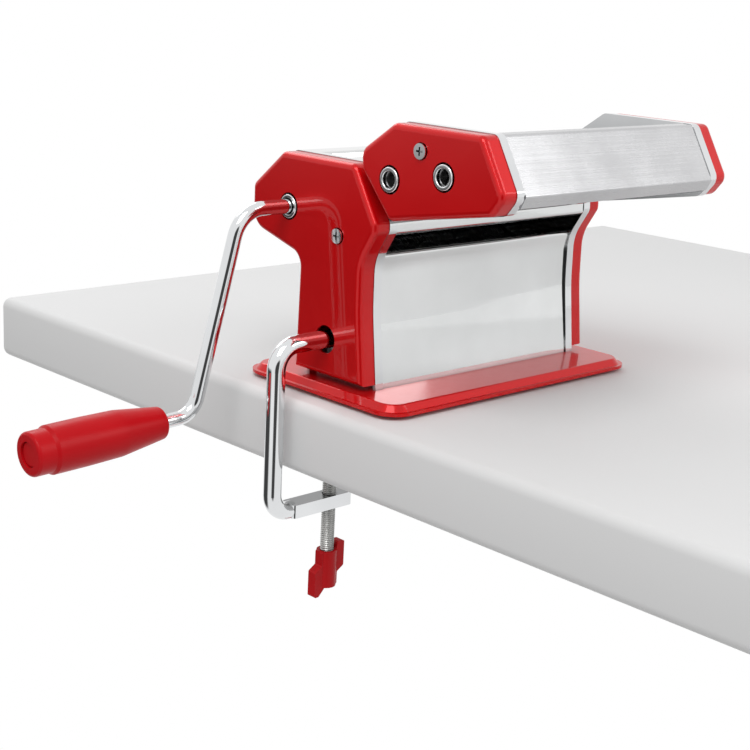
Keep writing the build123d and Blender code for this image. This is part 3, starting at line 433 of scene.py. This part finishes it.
def world_node(kind, **inputs):
    """Node of the world with some inputs set, named with _ for a space."""
    node = tree.nodes.new(kind)
    for key, value in inputs.items():
        node.inputs[key.replace("_", " ")].default_value = value
    return node


def world_math(kind, first, second):
    node = tree.nodes.new("ShaderNodeMath")
    node.operation = kind
    for socket, value in zip(node.inputs, (first, second)):
        if isinstance(value, bpy.types.NodeSocket):
            tree.links.new(value, socket)
        else:
            socket.default_value = value
    return node.outputs[0]


def world_step(value, low, high):
    """0 below low, 1 above high and smooth between them."""
    node = world_node("ShaderNodeMapRange", From_Min=low, From_Max=high)
    node.interpolation_type = "SMOOTHSTEP"
    tree.links.new(value, node.inputs["Value"])
    return node.outputs[0]


def world_toward(direction):
    """How far a ray's direction points toward the given one."""
    node = tree.nodes.new("ShaderNodeVectorMath")
    node.operation = "DOT_PRODUCT"
    tree.links.new(sky_direction, node.inputs[0])
    node.inputs[1].default_value = Vector(direction).normalized()
    return node.outputs["Value"]


def world_mix(fac, first, second):
    """The first shader where fac is 0 and the second where it is 1."""
    node = tree.nodes.new("ShaderNodeMixShader")
    for socket, source in zip(node.inputs, (fac, first, second)):
        tree.links.new(source, socket)
    return node.outputs[0]


STAND_DIRECTION = (-0.55, -0.83, -0.10)
FLOOR_DIRECTION = (-0.67, 0.69, -0.26)
DARKEST = 0.94  # share of white that the dark places take away

# The camera sees plain white, and the object is lit by an even grey. Reflections see a white room with
# a dark stand in front and a dark floor beyond the crank's end of the table. The places are fixed in
# the room and don't move with the camera.
sky_direction = tree.nodes.new("ShaderNodeTexCoord").outputs["Generated"]
below = world_step(world_toward((0, 0, -1)), 0.04, 0.16)
left_floor = world_math("MULTIPLY", below, world_step(world_toward(FLOOR_DIRECTION), 0.72, 0.90))
front_stand = world_step(world_toward(STAND_DIRECTION), 0.90, 0.955)
dark = world_math("MAXIMUM", front_stand, left_floor)
room_level = world_math("SUBTRACT", 1.0, world_math("MULTIPLY", dark, DARKEST))
out = tree.nodes.new("ShaderNodeOutputWorld")
plain = world_node("ShaderNodeBackground", Color=(0.9, 0.9, 0.9, 1), Strength=0.55)
white = world_node("ShaderNodeBackground", Color=(1, 1, 1, 1), Strength=1.0)
path = tree.nodes.new("ShaderNodeLightPath")
mirrored = world_math("MAXIMUM", path.outputs["Is Glossy Ray"], path.outputs["Is Transmission Ray"])
room = world_node("ShaderNodeBackground", Color=(1, 1, 1, 1))
tree.links.new(room_level, room.inputs["Strength"])
unseen = world_mix(mirrored, plain.outputs[0], room.outputs[0])
seen = world_mix(path.outputs["Is Camera Ray"], unseen, white.outputs[0])
tree.links.new(seen, out.inputs["Surface"])


LAMP_TARGET = (0, 0, 0.05)


def area_light(name, place, size, power):
    """Soft lamp that faces the object."""
    data = bpy.data.lights.new(name, "AREA")
    data.shape = "RECTANGLE"
    data.size, data.size_y = size
    data.energy = power
    obj = bpy.data.objects.new(name, data)
    obj.location = place
    obj.rotation_euler = (Vector(LAMP_TARGET) - Vector(place)).to_track_quat("-Z", "Y").to_euler()
    bpy.context.collection.objects.link(obj)


area_light("key", (-0.9, -0.5, 1.3), (0.9, 0.9), 11.5)
area_light("fill", (0.8, -1.2, 0.9), (0.8, 0.8), 6)
area_light("back", (0.2, 1.3, 1.0), (1.0, 0.6), 5)

CAMERA_PLACE = (-0.6230, -0.5867, 0.2226)
CAMERA_FORWARD = (0.67249, 0.69419, -0.25663)
CAMERA_ROLL = math.radians(2.88)
IMAGE_WIDTH = 750.0  # pixels
FOCAL_LENGTH = 1508.0  # in pixels of the image
SENSOR_WIDTH = 36.0

forward = Vector(CAMERA_FORWARD).normalized()
right = forward.cross(Vector((0, 0, 1))).normalized()
up = right.cross(forward)
image_right = right * math.cos(CAMERA_ROLL) + up * math.sin(CAMERA_ROLL)
image_up = -right * math.sin(CAMERA_ROLL) + up * math.cos(CAMERA_ROLL)
camera_data = bpy.data.cameras.new("camera")
camera_data.sensor_fit = "HORIZONTAL"
camera_data.sensor_width = SENSOR_WIDTH
camera_data.lens = FOCAL_LENGTH / IMAGE_WIDTH * SENSOR_WIDTH
camera_data.clip_start = 0.02
camera_data.clip_end = 20
camera = bpy.data.objects.new("camera", camera_data)
turn = Matrix((image_right, image_up, -forward)).transposed().to_4x4()
camera.matrix_world = Matrix.Translation(CAMERA_PLACE) @ turn
bpy.context.collection.objects.link(camera)
bpy.context.scene.camera = camera

bpy.context.scene.view_settings.view_transform = "Standard"
